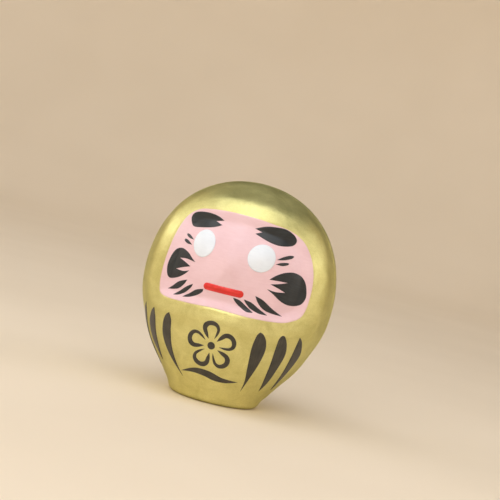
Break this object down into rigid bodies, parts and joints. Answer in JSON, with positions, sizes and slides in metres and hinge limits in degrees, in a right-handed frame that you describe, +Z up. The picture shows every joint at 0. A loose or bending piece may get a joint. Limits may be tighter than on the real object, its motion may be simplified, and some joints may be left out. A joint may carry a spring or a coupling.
{
  "type": "daruma doll magnet",
  "caption": "Small hollow papier-mache daruma doll in gold paint with a sunken pink brush-painted face, a flat base to stand on and a disc magnet on its flattened back.",
  "frame": {"origin": "middle of the flat base, in the plane that it stands on", "axes": "+Z up to the crown, -Y out of the painted face, +Y out of the back with the magnet, +X to the right of someone who faces the doll"},
  "size_m": [0.0568, 0.0483, 0.0651],
  "materials": {
    "gold_painted_paper": "satin metallic gold paint over pasted washi paper",
    "gold_painted_card": "gold-painted pasteboard, softly worn",
    "pink_paint": "matt to satin pale pink water paint",
    "white_paint": "smooth satin white paint",
    "black_ink": "semi-gloss black brush paint",
    "red_paint": "glossy vermilion paint",
    "fired_clay": "rough unglazed clay",
    "glue": "dried hide glue",
    "ferrite": "dark grey sintered ferrite, ground faces"
  },
  "bodies": {
    "root": {"front_shell": "gold_painted_paper", "rear_shell": "gold_painted_paper", "seam_strip": "gold_painted_paper", "base_plate": "gold_painted_card", "face_paint": "pink_paint", "eye_left": "white_paint", "eye_right": "white_paint", "brow_left": "black_ink", "brow_right": "black_ink", "lash_left_upper": "black_ink", "lash_left_lower": "black_ink", "lash_right_upper": "black_ink", "lash_right_lower": "black_ink", "cheek_beard_left": "black_ink", "cheek_beard_right": "black_ink", "whisker_left_1": "black_ink", "whisker_left_2": "black_ink", "whisker_left_3": "black_ink", "whisker_right_1": "black_ink", "whisker_right_2": "black_ink", "whisker_right_3": "black_ink", "belly_stroke_left_1": "black_ink", "belly_stroke_left_2": "black_ink", "belly_stroke_left_3": "black_ink", "belly_stroke_right_1": "black_ink", "belly_stroke_right_2": "black_ink", "belly_stroke_right_3": "black_ink", "blossom_petal_1": "black_ink", "blossom_petal_2": "black_ink", "blossom_petal_3": "black_ink", "blossom_petal_4": "black_ink", "blossom_petal_5": "black_ink", "blossom_centre": "black_ink", "blossom_stem": "black_ink", "lips": "red_paint", "base_weight": "fired_clay", "weight_glue": "glue", "magnet_glue": "glue", "magnet": "ferrite"}
  },
  "joints": []
}
